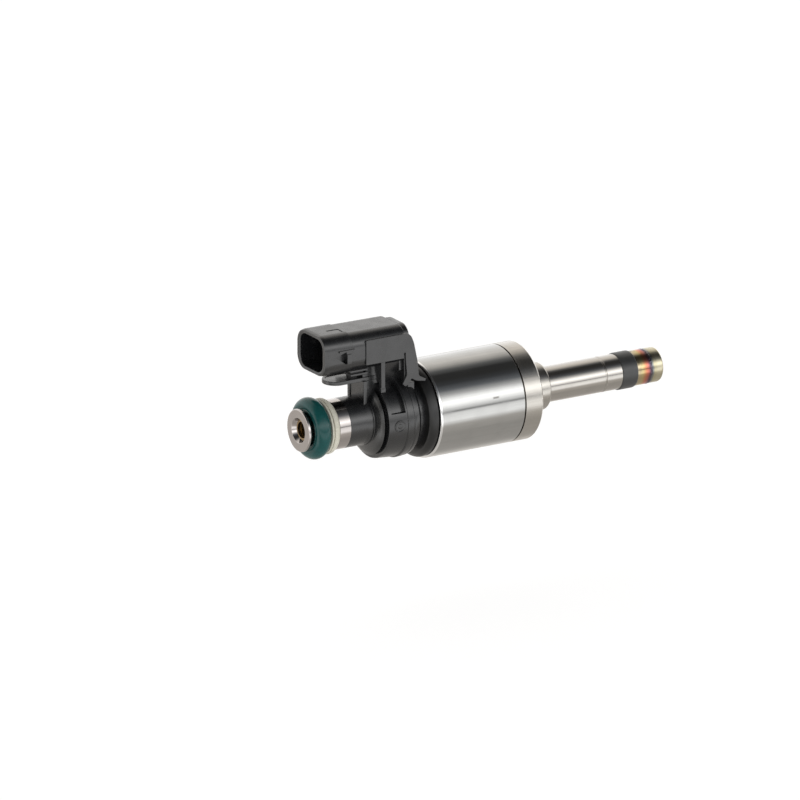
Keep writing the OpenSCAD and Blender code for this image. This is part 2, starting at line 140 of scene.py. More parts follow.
class Finish:
    """A node tree, with one method that adds a node of any type."""

    def __init__(self, tree):
        self.tree = tree

    def feed(self, socket, value):
        """Links a wire to a socket, or sets a plain number or colour on it."""
        if isinstance(value, Wire):
            self.tree.links.new(value.socket, socket)
        elif socket.type == "RGBA" and len(value) == 3:
            socket.default_value = (*value, 1)
        else:
            socket.default_value = value

    def node(self, kind, values=(), output=0, stops=(), **settings):
        """Adds a node, sets it, feeds its sockets and returns the wire from one output."""
        made = self.tree.nodes.new("ShaderNode" + kind)
        for name, value in settings.items():
            setattr(made, name, value)
        for number, (place, colour) in enumerate(stops):
            elements = made.color_ramp.elements
            stop = elements[number] if number < 2 else elements.new(place)
            stop.position = place
            stop.color = (*colour, 1)
        pairs = values.items() if isinstance(values, dict) else enumerate(values)
        for key, value in pairs:
            self.feed(made.inputs[key], value)
        return Wire(self, made.outputs[output]) if made.outputs else None

    def mix(self, low, high, amount):
        """From colour low to colour high, as amount goes from 0 to 1."""
        return self.node("Mix", {0: amount, 6: low, 7: high}, output=2, data_type="RGBA")

    def place(self):
        """The point on the piece, in metres."""
        return self.node("TexCoord", output=3)

    def noise(self, stretch, detail=2.0, rough=0.5):
        """Noise with so many waves to a metre along X, Y and Z."""
        grid = self.node("Mapping", {"Vector": self.place(), "Scale": stretch})
        return self.node("TexNoise", {"Vector": grid, "Scale": 1.0, "Detail": detail, "Roughness": rough})

    def along(self, axis):
        """The distance along X, Y or Z in millimetres."""
        return self.node("SeparateXYZ", [self.place()], output="XYZ".index(axis)) / MM

    def radius(self):
        """The distance from the axis in millimetres."""
        y, z = self.along("Y"), self.along("Z")
        return (y * y + z * z) ** 0.5


def light_studio():
    """Soft boxes and dark cards as bands around the injector's axis, and a lamp before its inlet."""
    world = bpy.data.worlds.new("studio")
    world.use_nodes = True
    world.node_tree.nodes.clear()
    studio = Finish(world.node_tree)
    sight = studio.node("TexCoord", output=0)
    x, y, z = (studio.node("SeparateXYZ", [sight], output=number) for number in range(3))
    around = studio.node("Math", [z, y * -1], operation="ARCTAN2") / (2 * pi) + 0.5
    plain, warm, cool = (1, 1, 1), (1, 0.955, 0.9), (0.93, 0.98, 1.06)
    lamp_colour = (1.75, 1.72, 1.68)
    bands = [
        (-180, 1.3, plain), (-165, 0.75, warm), (-135, 0.8, warm), (-110, 0.58, warm), (-55, 0.56, warm),
        (-34, 0.75, warm), (-22, 1.75, plain), (-12, 1.6, plain), (-5, 1.4, plain), (-2, 0.3, plain),
        (1.5, 1.0, plain), (9, 1.75, plain), (20, 2.7, plain), (27, 2, plain), (38, 0.85, plain),
        (49, 0.24, cool), (62, 0.085, cool), (74, 0.05, plain), (90, 0.05, plain), (103, 0.2, plain),
        (116, 0.75, warm), (130, 1.15, warm), (180, 1.45, plain)
    ]
    stops = [((angle + 180) / 360, [level * part for part in tint]) for angle, level, tint in bands]
    tones = studio.node("ValToRGB", {"Fac": around}, stops=stops)
    end_lamp = (-1 * x).ramp(0.72, 0.86) * y.ramp(-0.2, 0.05) * (1 - z.ramp(-0.05, 0.2))
    tones = studio.mix(tones, lamp_colour, end_lamp)
    seen = studio.node("LightPath", output=0)
    light = studio.node("Background", {"Color": tones, "Strength": 1.0})
    white = studio.node("Background", {"Color": plain, "Strength": 1.0})
    both = studio.node("MixShader", [seen, light, white])
    studio.node("OutputWorld", {"Surface": both})
    bpy.context.scene.world = world
    bpy.context.scene.view_settings.view_transform = "Standard"


def lay_floor():
    """A plain pale floor below the injector."""
    half_width, gap = 12, 25 * MM
    mesh = bpy.data.meshes.new("floor")
    floor = bpy.data.objects.new("floor", mesh)
    shape = bmesh.new()
    bmesh.ops.create_grid(shape, x_segments=1, y_segments=1, size=half_width)
    bmesh.ops.translate(shape, verts=shape.verts, vec=(0, 0, cad_box[0][2] - gap))
    shape.to_mesh(mesh)
    shape.free()
    bpy.context.collection.objects.link(floor)
    paint = bpy.data.materials.new("pale_floor")
    paint.use_nodes = True
    skin = paint.node_tree.nodes["Principled BSDF"].inputs
    skin["Base Color"].default_value = (0.4, 0.4, 0.4, 1)
    skin["Roughness"].default_value = 0.9
    skin["Emission Color"].default_value = (1, 1, 1, 1)
    skin["Emission Strength"].default_value = 0.75
    mesh.materials.append(paint)
    floor.visible_glossy = False


# ---------------------------------------------------------------- finishes

def new_finish(name, **constants):
    """A material, the tree behind it and its shader's sockets."""
    material = bpy.data.materials.new(name)
    material.use_nodes = True
    skin = material.node_tree.nodes["Principled BSDF"].inputs
    for socket, value in constants.items():
        skin[socket.replace("_", " ")].default_value = value
    return material, Finish(material.node_tree), skin


def shade(colour, factor):
    """A colour made lighter or darker."""
    return tuple(part * factor for part in colour)


def steel(name, colour, roughness, streak=(60, 2600, 2600), depth=0.6, tint=None):
    """Turned and polished steel: fine streaks along the axis, and faint smudges from handling."""
    material, finish, skin = new_finish(name, Metallic=1.0)
    streaks = finish.noise(streak, detail=4.0, rough=0.6)
    smudges = finish.noise((260, 260, 260), detail=3.0).ramp(0.42, 0.7)
    base = finish.mix(shade(colour, 0.9), shade(colour, 1.08), streaks)
    if tint:
        base = tint(finish, base)
    finish.feed(skin["Base Color"], finish.mix(base, shade(colour, 0.85), smudges * 0.25))
    finish.feed(skin["Roughness"], streaks * 0.08 + smudges * 0.06 + roughness)
    bump = finish.node("Bump", {"Strength": 0.5, "Distance": depth * 1e-6, "Height": streaks})
    finish.feed(skin["Normal"], bump)
    return material


def moulded(name, colour, roughness, level=0.8, grain=3500, depth=3.0):
    """Moulded plastic or rubber: a fine skin grain, slightly cloudy gloss and a little dust."""
    material, finish, skin = new_finish(name, Specular_IOR_Level=level)
    texture = finish.noise((grain, grain, grain), detail=3.0)
    clouds = finish.noise((400, 400, 400), detail=3.0).ramp(0.35, 0.7)
    dust = finish.noise((1500, 1500, 1500), detail=2.0).ramp(0.64, 0.78)
    base = finish.mix(shade(colour, 0.8), shade(colour, 1.2), texture)
    finish.feed(skin["Base Color"], finish.mix(base, shade(colour, 1.6), dust * 0.5))
    finish.feed(skin["Roughness"], texture * 0.06 + clouds * 0.07 + dust * 0.1 + roughness)
    bump = finish.node("Bump", {"Strength": 0.4, "Distance": depth * 1e-6, "Height": texture})
    finish.feed(skin["Normal"], bump)
    return material


def heat_tint(finish, base):
    """The weld at the tip has drawn temper colours into bands around the steel."""
    wander = finish.noise((150, 350, 350), detail=3.0) * 0.9 - 0.45
    along = (finish.along("X") + wander - SEAL_FRONT) / (TIP - SEAL_FRONT)
    colours = finish.node("ValToRGB", {"Fac": along}, stops=[
        (0, (0.42, 0.37, 0.27)), (1, (0.54, 0.5, 0.36)), (0.08, (0.46, 0.38, 0.24)), (0.2, (0.5, 0.4, 0.2)),
        (0.27, (0.52, 0.3, 0.15)), (0.34, (0.55, 0.2, 0.12)), (0.42, (0.42, 0.14, 0.12)),
        (0.48, (0.14, 0.08, 0.1)), (0.54, (0.08, 0.075, 0.1)), (0.6, (0.22, 0.23, 0.22)),
        (0.66, (0.46, 0.42, 0.28)), (0.8, (0.55, 0.51, 0.37))
    ])
    # mottled dark brown patches, on the upper side of the tinted bands near the seal
    dark_top_patches = finish.noise((700, 500, 500), detail=3.0).ramp(0.5, 0.68) * finish.along("Z").ramp(-1, 3)
    colours = finish.mix(colours, (0.06, 0.05, 0.035), dark_top_patches * (1 - along.ramp(0.15, 0.5)) * 0.8)
    heated = finish.along("X").ramp(SEAL_FRONT - 0.6, SEAL_FRONT + 0.1)
    return finish.mix(base, colours, heated)


def can_dent_and_rim_highlight(finish, base):
    """One small dark dent on the can, and a painted highlight that makes its rear rim bright."""
    dent_x, dent_z = CAN_REAR + 13.5, 2.9
    away = abs(finish.along("X") - dent_x)
    high = abs(finish.along("Z") - dent_z)
    near = 1 - finish.along("Y").ramp(-CAN_R, 0)
    spot = (1 - (away * 0.7).most(high * 2.4).ramp(0.25, 0.7)) * near.ramp(0.5, 0.9)
    # painted highlight: the first few tenths of a millimetre of the rear rim are mixed toward near white
    rim_highlight = 1 - finish.along("X").ramp(CAN_REAR + 0.3, CAN_REAR + 0.45)
    base = finish.mix(base, (0.9, 0.9, 0.9), rim_highlight * 0.8)
    return finish.mix(base, (0.1, 0.09, 0.08), spot * 0.7)


def collar_edge_highlight(finish, base):
    """The collar's front edge, at X 0, gets a painted highlight, broken into small bright dots."""
    glint_dots = finish.noise((900, 900, 900), detail=2.0).ramp(0.4, 0.55)
    edge = finish.along("X").ramp(-0.5, -0.38) * finish.radius().ramp(CAN_R - 0.5, CAN_R - 0.38)
    # painted highlight: the chamfer is mixed toward near white where the dot noise is high
    return finish.mix(base, (0.95, 0.93, 0.9), edge * glint_dots)


def gauze(name, colour):
    """A woven gauze of fine round wires, with painted shade in the hollows between them."""
    material, finish, skin = new_finish(name, Metallic=1.0)
    pitch, gauze_r = 0.22, 1.7
    around = finish.node("Math", [finish.along("Z"), finish.along("Y")], operation="ARCTAN2") * gauze_r
    along, across = finish.along("X") * (2 * pi / pitch), around * (2 * pi / pitch)
    weave = finish.node("Math", [along], operation="SINE") * finish.node("Math", [across], operation="SINE")
    height = weave * 0.5 + 0.5
    # painted shade: low parts of the weave are darkened to 15 % of the wire colour
    finish.feed(skin["Base Color"], finish.mix(shade(colour, 0.15), colour, height.ramp(0.3, 0.7)))
    finish.feed(skin["Roughness"], 0.55 - height * 0.25)
    finish.feed(skin["Normal"], finish.node("Bump", {"Strength": 0.8, "Distance": 3e-5, "Height": height}))
    return material


# ---------------------------------------------------------------- making pieces

def span(node):
    """First and last X of a CAD node, and its radius, in millimetres."""
    low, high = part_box(node)
    return low[0] / MM, high[0] / MM, high[1] / MM


def is_flat(face):
    """Whether a face looks straight along one of the three axes."""
    return max(abs(part) for part in face.normal) > 0.99999


def make(name, shape, slot, *nodes, body=BODY, crisp_flats=False):
    """Finishes a shape drawn in millimetres as a piece that stands for some CAD nodes."""
    sharp = radians(38)
    bmesh.ops.recalc_face_normals(shape, faces=shape.faces)
    shape.normal_update()
    for face in shape.faces:
        face.smooth = True
    for edge in shape.edges:
        edge.smooth = len(edge.link_faces) == 2 and edge.calc_face_angle() < sharp
        if crisp_flats and edge.smooth:
            edge.smooth = is_flat(edge.link_faces[0]) == is_flat(edge.link_faces[1])
    bmesh.ops.scale(shape, vec=(MM, MM, MM), verts=shape.verts)
    mesh = bpy.data.meshes.new(name)
    shape.to_mesh(mesh)
    shape.free()
    mesh.materials.append(LOOKS[slot])
    piece = bpy.data.objects.new(name, mesh)
    bpy.context.collection.objects.link(piece)
    even = piece.modifiers.new("even_shading", "WEIGHTED_NORMAL")
    even.keep_sharp = True
    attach(piece, body)
    for node in nodes:
        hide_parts(node)
    return piece


def eased(outline):
    """Rounds the corners of a closed outline. A third number is the length cut from a corner's sides."""
    steps, longest = 4, 0.48
    points = []
    for number, corner in enumerate(outline):
        here = Vector(corner[:2])
        before = Vector(outline[number - 1][:2]) - here
        after = Vector(outline[(number + 1) % len(outline)][:2]) - here
        wanted = corner[2] if len(corner) > 2 else 0
        cut = min(wanted, longest * before.length, longest * after.length)
        if cut == 0:
            points.append(here)
            continue
        start, end = here + before.normalized() * cut, here + after.normalized() * cut
        for step in range(steps + 1):
            t = step / steps
            points.append(start * (1 - t) ** 2 + here * (2 * t * (1 - t)) + end * t ** 2)
    return points


def ring(shape, points, axis=0):
    """Spins a closed outline of (along, radius) points about X, or about Y where axis is 1."""
    corners = []
    for along, radius in points:
        place = (along, 0, radius) if axis == 0 else (radius, along, 0)
        corners.append(shape.verts.new(place))
    edges = [shape.edges.new((corners[number - 1], corner)) for number, corner in enumerate(corners)]
    line = (1, 0, 0) if axis == 0 else (0, 1, 0)
    bmesh.ops.spin(
        shape, geom=corners + edges, cent=(0, 0, 0), axis=line, angle=2 * pi, steps=STEPS, use_merge=True
    )
    return shape


def turned(name, slot, outline, *nodes):
    """Makes a turned piece from its outline."""
    return make(name, ring(bmesh.new(), eased(outline)), slot, *nodes)


def block(shape, low, high, draft=(0, 0)):
    """A block between two corners, narrower at its top by the draft along X and Y."""
    made = bmesh.ops.create_cube(shape, size=1)["verts"]
    size = [b - a for a, b in zip(low, high)]
    middle = [(a + b) / 2 for a, b in zip(low, high)]
    bmesh.ops.scale(shape, vec=size, verts=made)
    bmesh.ops.translate(shape, vec=middle, verts=made)
    for corner in made:
        if corner.co.z > middle[2]:
            corner.co.x -= draft[0] if corner.co.x > middle[0] else -draft[0]
            corner.co.y -= draft[1] if corner.co.y > middle[1] else -draft[1]


def plate(shape, points, level, thickness, flat="XZ"):
    """A plate from an outline, in XZ at one Y, or in XY at one Z."""
    lift = (lambda a, b: (a, level, b)) if flat == "XZ" else (lambda a, b: (a, b, level))
    face = shape.faces.new([shape.verts.new(lift(a, b)) for a, b in points])
    grown = bmesh.ops.extrude_face_region(shape, geom=[face])["geom"]
    moved = [part for part in grown if isinstance(part, bmesh.types.BMVert)]
    step = (0, thickness, 0) if flat == "XZ" else (0, 0, thickness)
    bmesh.ops.translate(shape, vec=step, verts=moved)
    return [part for part in grown if isinstance(part, bmesh.types.BMFace)][0]


def with_edges(faces):
    """Faces together with their edges and corners, each once."""
    return list(dict.fromkeys(part for face in faces for part in (face, *face.edges, *face.verts)))


def raise_faces(shape, faces):
    """Extrudes faces of a shape, and returns the new corners for a move."""
    grown = bmesh.ops.extrude_face_region(shape, geom=faces)["geom"]
    bmesh.ops.delete(shape, geom=faces, context="FACES")
    return [part for part in grown if isinstance(part, bmesh.types.BMVert)]


def soften(shape, width, segments=3, sharp=30):
    """Rounds the edges of a shape that turn by more than the angle sharp."""
    bmesh.ops.recalc_face_normals(shape, faces=shape.faces)
    shape.normal_update()
    edges = [
        edge for edge in shape.edges
        if len(edge.link_faces) == 2 and edge.calc_face_angle() > radians(sharp)
    ]
    bmesh.ops.bevel(
        shape, geom=edges, offset=width, affect="EDGES", segments=segments, profile=0.5, material=-1,
        clamp_overlap=True
    )


def on_both_sides(shape):
    """Adds the mirror image of a shape across the plane of the axis and the connector."""
    bmesh.ops.mirror(shape, geom=shape.verts[:] + shape.edges[:] + shape.faces[:], axis="Y", merge_dist=-1)
    return shape


# ---------------------------------------------------------------- sizes, read from the frame

INLET, INLET_END, INLET_R = span("inlet_tube")
O_RING_REAR, O_RING_FRONT, O_RING_R = span("rail_o_ring")
BACKUP_REAR, BACKUP_FRONT, BACKUP_R = span("backup_ring")
CAN_REAR, CAN_FRONT, CAN_R = span("magnet_housing")
SEAL_RING_REAR, SEAL_RING_FRONT, SEAL_RING_R = span("housing_seal_ring")
HOUSING_REAR, NECK_FRONT, _ = span("lower_housing")
TUBE_REAR, TUBE_FRONT, TUBE_R = span("nozzle_tube")
SEAL_REAR, SEAL_FRONT, SEAL_R = span("combustion_seal")
_, TIP, _ = span("valve_seat")
GLAND_R = O_RING_R - (O_RING_FRONT - O_RING_REAR)
moulding_low, moulding_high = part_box("connector_housing")
SHROUD_REAR = moulding_low[0] / MM
SHROUD_TOP = moulding_high[2] / MM
DRUM_R = CAN_R - 1.3
DRUM_REAR = CAN_REAR - 13.1
SLEEVE_REAR = DRUM_REAR - 5.75
SHROUD_W, SHROUD_H = 11.6, 8.75
SHROUD_Z = SHROUD_TOP - SHROUD_H / 2
SHROUD_BOTTOM = SHROUD_TOP - SHROUD_H
SHROUD_FRONT = CAN_REAR - 5.9
TONGUE_Z = SHROUD_BOTTOM - 2.9
TONGUE_HALF_W = 2.8

LOOKS = {
    "inlet_steel": steel("inlet_steel", (0.46, 0.43, 0.415), 0.045),
    "teal_rubber": moulded("teal_rubber", (0.006, 0.06, 0.058), 0.12, level=0.3, grain=1800, depth=2.0),
    "cream_ring": moulded("cream_ring", (0.52, 0.5, 0.42), 0.4, level=0.4, grain=1200),
    "strainer_brass": steel("strainer_brass", (0.34, 0.25, 0.14), 0.28),
    "strainer_gauze": gauze("strainer_gauze", (0.5, 0.35, 0.14)),
    "black_moulding": moulded("black_moulding", (0.008, 0.0083, 0.009), 0.2),
    "terminal_tin": steel("terminal_tin", (0.6, 0.6, 0.58), 0.22),
    "bobbin_nylon": moulded("bobbin_nylon", (0.07, 0.04, 0.02), 0.4),
    "copper_wire": steel("copper_wire", (0.55, 0.2, 0.07), 0.25, streak=(900, 900, 900)),
    "magnetic_steel": steel("magnetic_steel", (0.42, 0.42, 0.42), 0.22),
    "can_steel": steel("can_steel", (0.44, 0.44, 0.43), 0.045, depth=0.9, tint=can_dent_and_rim_highlight),
    "black_rubber": moulded("black_rubber", (0.006, 0.006, 0.006), 0.3, level=0.5, grain=2200),
    "collar_steel": steel("collar_steel", (0.48, 0.46, 0.425), 0.16, depth=1.2, tint=collar_edge_highlight),
    "brazed_ring": steel("brazed_ring", (0.45, 0.42, 0.33), 0.25),
    "spring_steel": steel("spring_steel", (0.35, 0.36, 0.37), 0.2, streak=(900, 900, 900)),
    "nozzle_steel": steel("nozzle_steel", (0.47, 0.45, 0.42), 0.06, streak=(90, 3200, 3200), tint=heat_tint),
    "black_fluoropolymer": moulded("black_fluoropolymer", (0.018, 0.019, 0.02), 0.36, grain=2600, depth=6.0),
    "seat_steel": steel("seat_steel", (0.5, 0.45, 0.35), 0.16, tint=heat_tint),
    "needle_steel": steel("needle_steel", (0.5, 0.5, 0.5), 0.12),
    "ball_steel": steel("ball_steel", (0.6, 0.6, 0.61), 0.04, streak=(500, 500, 500)),
}


# ---------------------------------------------------------------- inlet end

def make_inlet():
    """The steel inlet, with the seal and the slide ring that sit in its gland."""
    land_r, bore_r, strainer_r, stem_r = 4.57, 2.1, 1.9, 4.3
    gland_rear = O_RING_REAR - 0.03
    turned("inlet_stem", "inlet_steel", [
        (INLET, bore_r + 0.58, 0.05), (INLET, land_r - 0.05, 0.35), (INLET + 0.5, land_r, 0.15),
        (INLET + 0.62, land_r - 0.75, 0.1), (gland_rear, land_r - 0.9, 0.1), (gland_rear, GLAND_R, 0.15),
        (BACKUP_FRONT, GLAND_R, 0.15), (BACKUP_FRONT, INLET_R - 0.3), (BACKUP_FRONT + 0.3, INLET_R, 0.1),
        (SLEEVE_REAR, INLET_R), (SLEEVE_REAR, stem_r), (INLET_END, stem_r), (INLET_END, strainer_r),
        (INLET_END - 5.6, strainer_r), (INLET_END - 6, bore_r), (INLET + 0.95, bore_r + 0.02, 0.1)
    ], "inlet_tube")
    thick, flash, corners = O_RING_FRONT - O_RING_REAR, 0.035, 40
    middle, middle_r = (O_RING_REAR + O_RING_FRONT) / 2, O_RING_R - thick / 2
    section = []
    for number in range(corners):
        angle = 2 * pi * number / corners
        size = thick / 2 + (flash if sin(angle) < -0.999 else 0)
        section.append((middle + size * cos(angle), middle_r + size * sin(angle)))
    make("rail_seal", ring(bmesh.new(), section), "teal_rubber", "rail_o_ring")
    turned("slide_ring", "cream_ring", [
        (BACKUP_REAR, GLAND_R, 0.1), (BACKUP_REAR, BACKUP_R - 0.1, 0.1), (BACKUP_REAR + 0.35, BACKUP_R, 0.1),
        (BACKUP_REAR + 0.42, BACKUP_R - 0.5, 0.05), (BACKUP_REAR + 0.55, BACKUP_R - 0.5, 0.05),
        (BACKUP_REAR + 0.62, BACKUP_R, 0.12), (BACKUP_FRONT - 0.5, BACKUP_R, 0.1),
        (BACKUP_FRONT - 0.4, BACKUP_R - 0.15, 0.1), (BACKUP_FRONT, BACKUP_R - 0.3, 0.15),
        (BACKUP_FRONT, GLAND_R, 0.1)
    ], "backup_ring")


# ---------------------------------------------------------------- plastic moulding

def make_drum():
    """Sleeve, shoulder, groove and the two bands, with a window that runs over the top."""
    inside_r, sleeve_r, rear_r, waist_r = 4.4, INLET_R, DRUM_R - 0.5, DRUM_R - 1.4
    groove_x, groove_r = DRUM_REAR + 1.0, rear_r - 1.9
    window_rear, window_front, window_z, window_depth = DRUM_REAR + 2.3, DRUM_REAR + 5.6, 2.7, 0.7
    band_x, waist_x = DRUM_REAR + 5.9, CAN_REAR - 3.7
    shape = ring(bmesh.new(), eased([
        (SLEEVE_REAR, inside_r), (SLEEVE_REAR, sleeve_r, 0.12), (DRUM_REAR - 1.4, sleeve_r, 0.3),
        (DRUM_REAR - 1.0, sleeve_r + 0.16, 0.15), (DRUM_REAR - 0.35, sleeve_r + 0.18, 0.1),
        (DRUM_REAR - 0.15, sleeve_r, 0.1), (DRUM_REAR, sleeve_r + 0.1, 0.1),
        (DRUM_REAR + 0.15, sleeve_r + 0.75, 0.15), (DRUM_REAR + 0.45, rear_r - 1.65, 0.3),
        (groove_x - 0.05, rear_r - 0.85, 0.06), (groove_x, groove_r, 0.1), (groove_x + 0.58, groove_r, 0.1),
        (groove_x + 0.6, rear_r - 0.1, 0.12), (window_rear - 0.15, rear_r), (window_rear, rear_r),
        (window_front, rear_r + 0.25), (band_x, rear_r + 0.27), (band_x + 0.02, DRUM_R - 0.12, 0.08),
        (band_x + 0.2, DRUM_R, 0.1), (band_x + 1.5, DRUM_R - 0.05, 0.15), (band_x + 1.7, DRUM_R - 0.2, 0.1),
        (band_x + 2.1, DRUM_R - 0.12, 0.1), (waist_x - 0.5, DRUM_R - 0.3, 0.3),
        (waist_x, DRUM_R - 0.75, 0.15), (waist_x + 0.1, waist_r, 0.1), (CAN_REAR - 0.05, waist_r),
        (CAN_REAR - 0.05, inside_r)
    ]))

    def band():
        """The faces all around the drum between the window's two ends."""
        return [
            face for face in shape.faces
            if all(window_rear - 0.01 < corner.co.x < window_front + 0.01 for corner in face.verts)
            and hypot(*face.calc_center_median()[1:]) > rear_r - 0.1
        ]

    bmesh.ops.bisect_plane(
        shape, geom=with_edges(band()), dist=1e-5, plane_co=(0, 0, window_z), plane_no=(0, 0, 1)
    )
    opened = [face for face in band() if face.calc_center_median().z > window_z]
    for corner in raise_faces(shape, opened):
        sink = (rear_r - window_depth) / hypot(corner.co.y, corner.co.z)
        corner.co.y *= sink
        corner.co.z *= sink if corner.co.z > window_z + 0.01 else 1
    make("moulded_drum", shape, "black_moulding", "connector_housing")


def make_gate_mark():
    """The round mark of the moulding's gate, on both sides of the drum."""
    face = -(DRUM_R - 0.35)
    shape = ring(bmesh.new(), eased([
        (face + 0.6, 1.3), (face - 0.02, 1.3, 0.05), (face - 0.1, 1.2, 0.08), (face - 0.1, 1.08, 0.08),
        (face + 0.06, 0.95, 0.05), (face + 0.06, 0.55, 0.05), (face - 0.08, 0.42, 0.1), (face - 0.1, 0.05),
        (face + 0.6, 0.05)
    ]), axis=1)
    bmesh.ops.translate(shape, vec=(DRUM_REAR + 4.1, 0, 0), verts=shape.verts)
    make("gate_marks", on_both_sides(shape), "black_moulding", "connector_housing")


def rounded_loop(shape, x, half_w, half_h, corner, drop):
    """A rectangle with round corners across the connector, lower than its middle by the drop."""
    steps = 12
    points = []
    for number, (side, top) in enumerate([(1, 1), (-1, 1), (-1, -1), (1, -1)]):
        for step in range(steps + 1):
            angle = radians(90 * (number + step / steps))
            y = side * (half_w - corner) + corner * cos(angle)
            z = top * (half_h - corner) + corner * sin(angle)
            points.append(shape.verts.new((x, y, SHROUD_Z - drop + z)))
    return [shape.edges.new((points[number - 1], point)) for number, point in enumerate(points)]


def press(shape, facing, outline, depth):
    """Sinks or raises a convex outline in the flat faces of a shape that face one way."""
    corners = [Vector(corner) for corner in outline]
    middle = sum(corners, Vector()) / len(corners)
    cuts = [(corner, (corner - corners[number - 1]).cross(facing)) for number, corner in enumerate(corners)]

    def flat():
        """The faces that face that way at the outline's level."""
        return [
            face for face in shape.faces
            if face.normal.dot(facing) > 0.99
            and abs((face.calc_center_median() - corners[0]).dot(facing)) < 0.3
        ]

    def inside(point):
        """Whether a point lies on the middle's side of every cut."""
        return all((point - corner).dot(cut) * (middle - corner).dot(cut) > 0 for corner, cut in cuts)

    for corner, cut in cuts:
        bmesh.ops.bisect_plane(shape, geom=with_edges(flat()), dist=1e-5, plane_co=corner, plane_no=cut)
        shape.normal_update()
    chosen = [face for face in flat() if inside(face.calc_center_median())]
    bmesh.ops.translate(shape, vec=depth * facing, verts=raise_faces(shape, chosen))


def make_shroud():
    """The connector's shroud, lofted through its sections from the socket's floor to the rear cap."""
    half_w, half_h, corner = SHROUD_W / 2, SHROUD_H / 2, 3.0
    inner_w, inner_h, inner_corner = half_w - 1.4, half_h - 0.85, corner - 0.85
    floor_x, step_x, cap_x = SHROUD_REAR + 11, SHROUD_REAR + 6.6, SHROUD_FRONT + 1.7
    shape = bmesh.new()
    sections = [
        (floor_x, inner_w - 0.1, inner_h - 0.1, inner_corner - 0.1, 0),
        (SHROUD_REAR + 0.45, inner_w, inner_h, inner_corner, 0),
        (SHROUD_REAR + 0.15, inner_w + 0.1, inner_h + 0.06, inner_corner + 0.05, 0),
        (SHROUD_REAR + 0.05, inner_w + 0.3, inner_h + 0.18, inner_corner + 0.15, 0),
        (SHROUD_REAR, half_w - 0.45, half_h - 0.3, corner - 0.3, 0),
        (SHROUD_REAR + 0.1, half_w - 0.25, half_h - 0.15, corner - 0.15, 0),
        (SHROUD_REAR + 0.5, half_w - 0.1, half_h - 0.05, corner - 0.05, 0),
        (SHROUD_REAR + 0.9, half_w, half_h, corner, 0),
        (step_x, half_w, half_h - 0.04, corner, 0.02),
        (step_x + 0.06, half_w - 0.06, half_h - 0.22, corner - 0.15, 0.04),
        (SHROUD_FRONT - 0.35, half_w - 0.06, half_h - 0.3, corner - 0.15, 0.1),
        (SHROUD_FRONT - 0.1, half_w - 0.2, half_h - 0.4, corner - 0.2, 0.1),
        (SHROUD_FRONT, half_w - 0.5, half_h - 0.55, corner - 0.3, 0.1),
        (SHROUD_FRONT + 0.05, half_w - 1.05, half_h - 0.55, corner - 0.3, 0),
        (cap_x - 0.5, half_w - 1.1, half_h - 0.58, corner - 0.3, 0),
        (cap_x - 0.2, half_w - 1.22, half_h - 0.7, corner - 0.4, 0),
        (cap_x - 0.05, half_w - 1.45, half_h - 0.92, corner - 0.6, 0),
        (cap_x, half_w - 1.8, half_h - 1.25, corner - 0.9, 0)
    ]
    loops = [rounded_loop(shape, *section) for section in sections]
    for loop, following in zip(loops, loops[1:]):
        bmesh.ops.bridge_loops(shape, edges=loop + following)
    for loop in (loops[0], loops[-1]):
        bmesh.ops.contextual_create(shape, geom=loop)
    bmesh.ops.recalc_face_normals(shape, faces=shape.faces)
    shape.normal_update()
    rear, front, near, far = SHROUD_REAR + 3.3, SHROUD_REAR + 6.2, -2.6, -0.4
    recess = [(rear, near), (front, near), (front, far), (rear, far)]
    press(shape, Vector((0, 0, 1)), [(x, y, SHROUD_TOP) for x, y in recess], -0.1)
    tip, wide = SHROUD_REAR + 2.4, SHROUD_REAR + 5.2
    arrow = [(tip, 0.1), (wide, -1.9), (wide, 0.9)]
    tab = [(wide + 0.05, -2.2), (wide + 1.1, -2.2), (wide + 1.1, 0.3), (wide + 0.05, 0.3)]
    ledge = [(tip + 0.9, 0.95), (wide + 1.9, 0.95), (wide + 1.9, 1.3), (tip + 0.9, 1.3)]
    for side in (-1, 1):
        for outline, depth in ((arrow, -1.1), (tab, 0.22), (ledge, 0.3)):
            corners = [(x, side * half_w, SHROUD_Z + z) for x, z in outline]
            press(shape, Vector((0, side, 0)), corners, depth)
    make("connector_shroud", shape, "black_moulding", "connector_housing", crisp_flats=True)


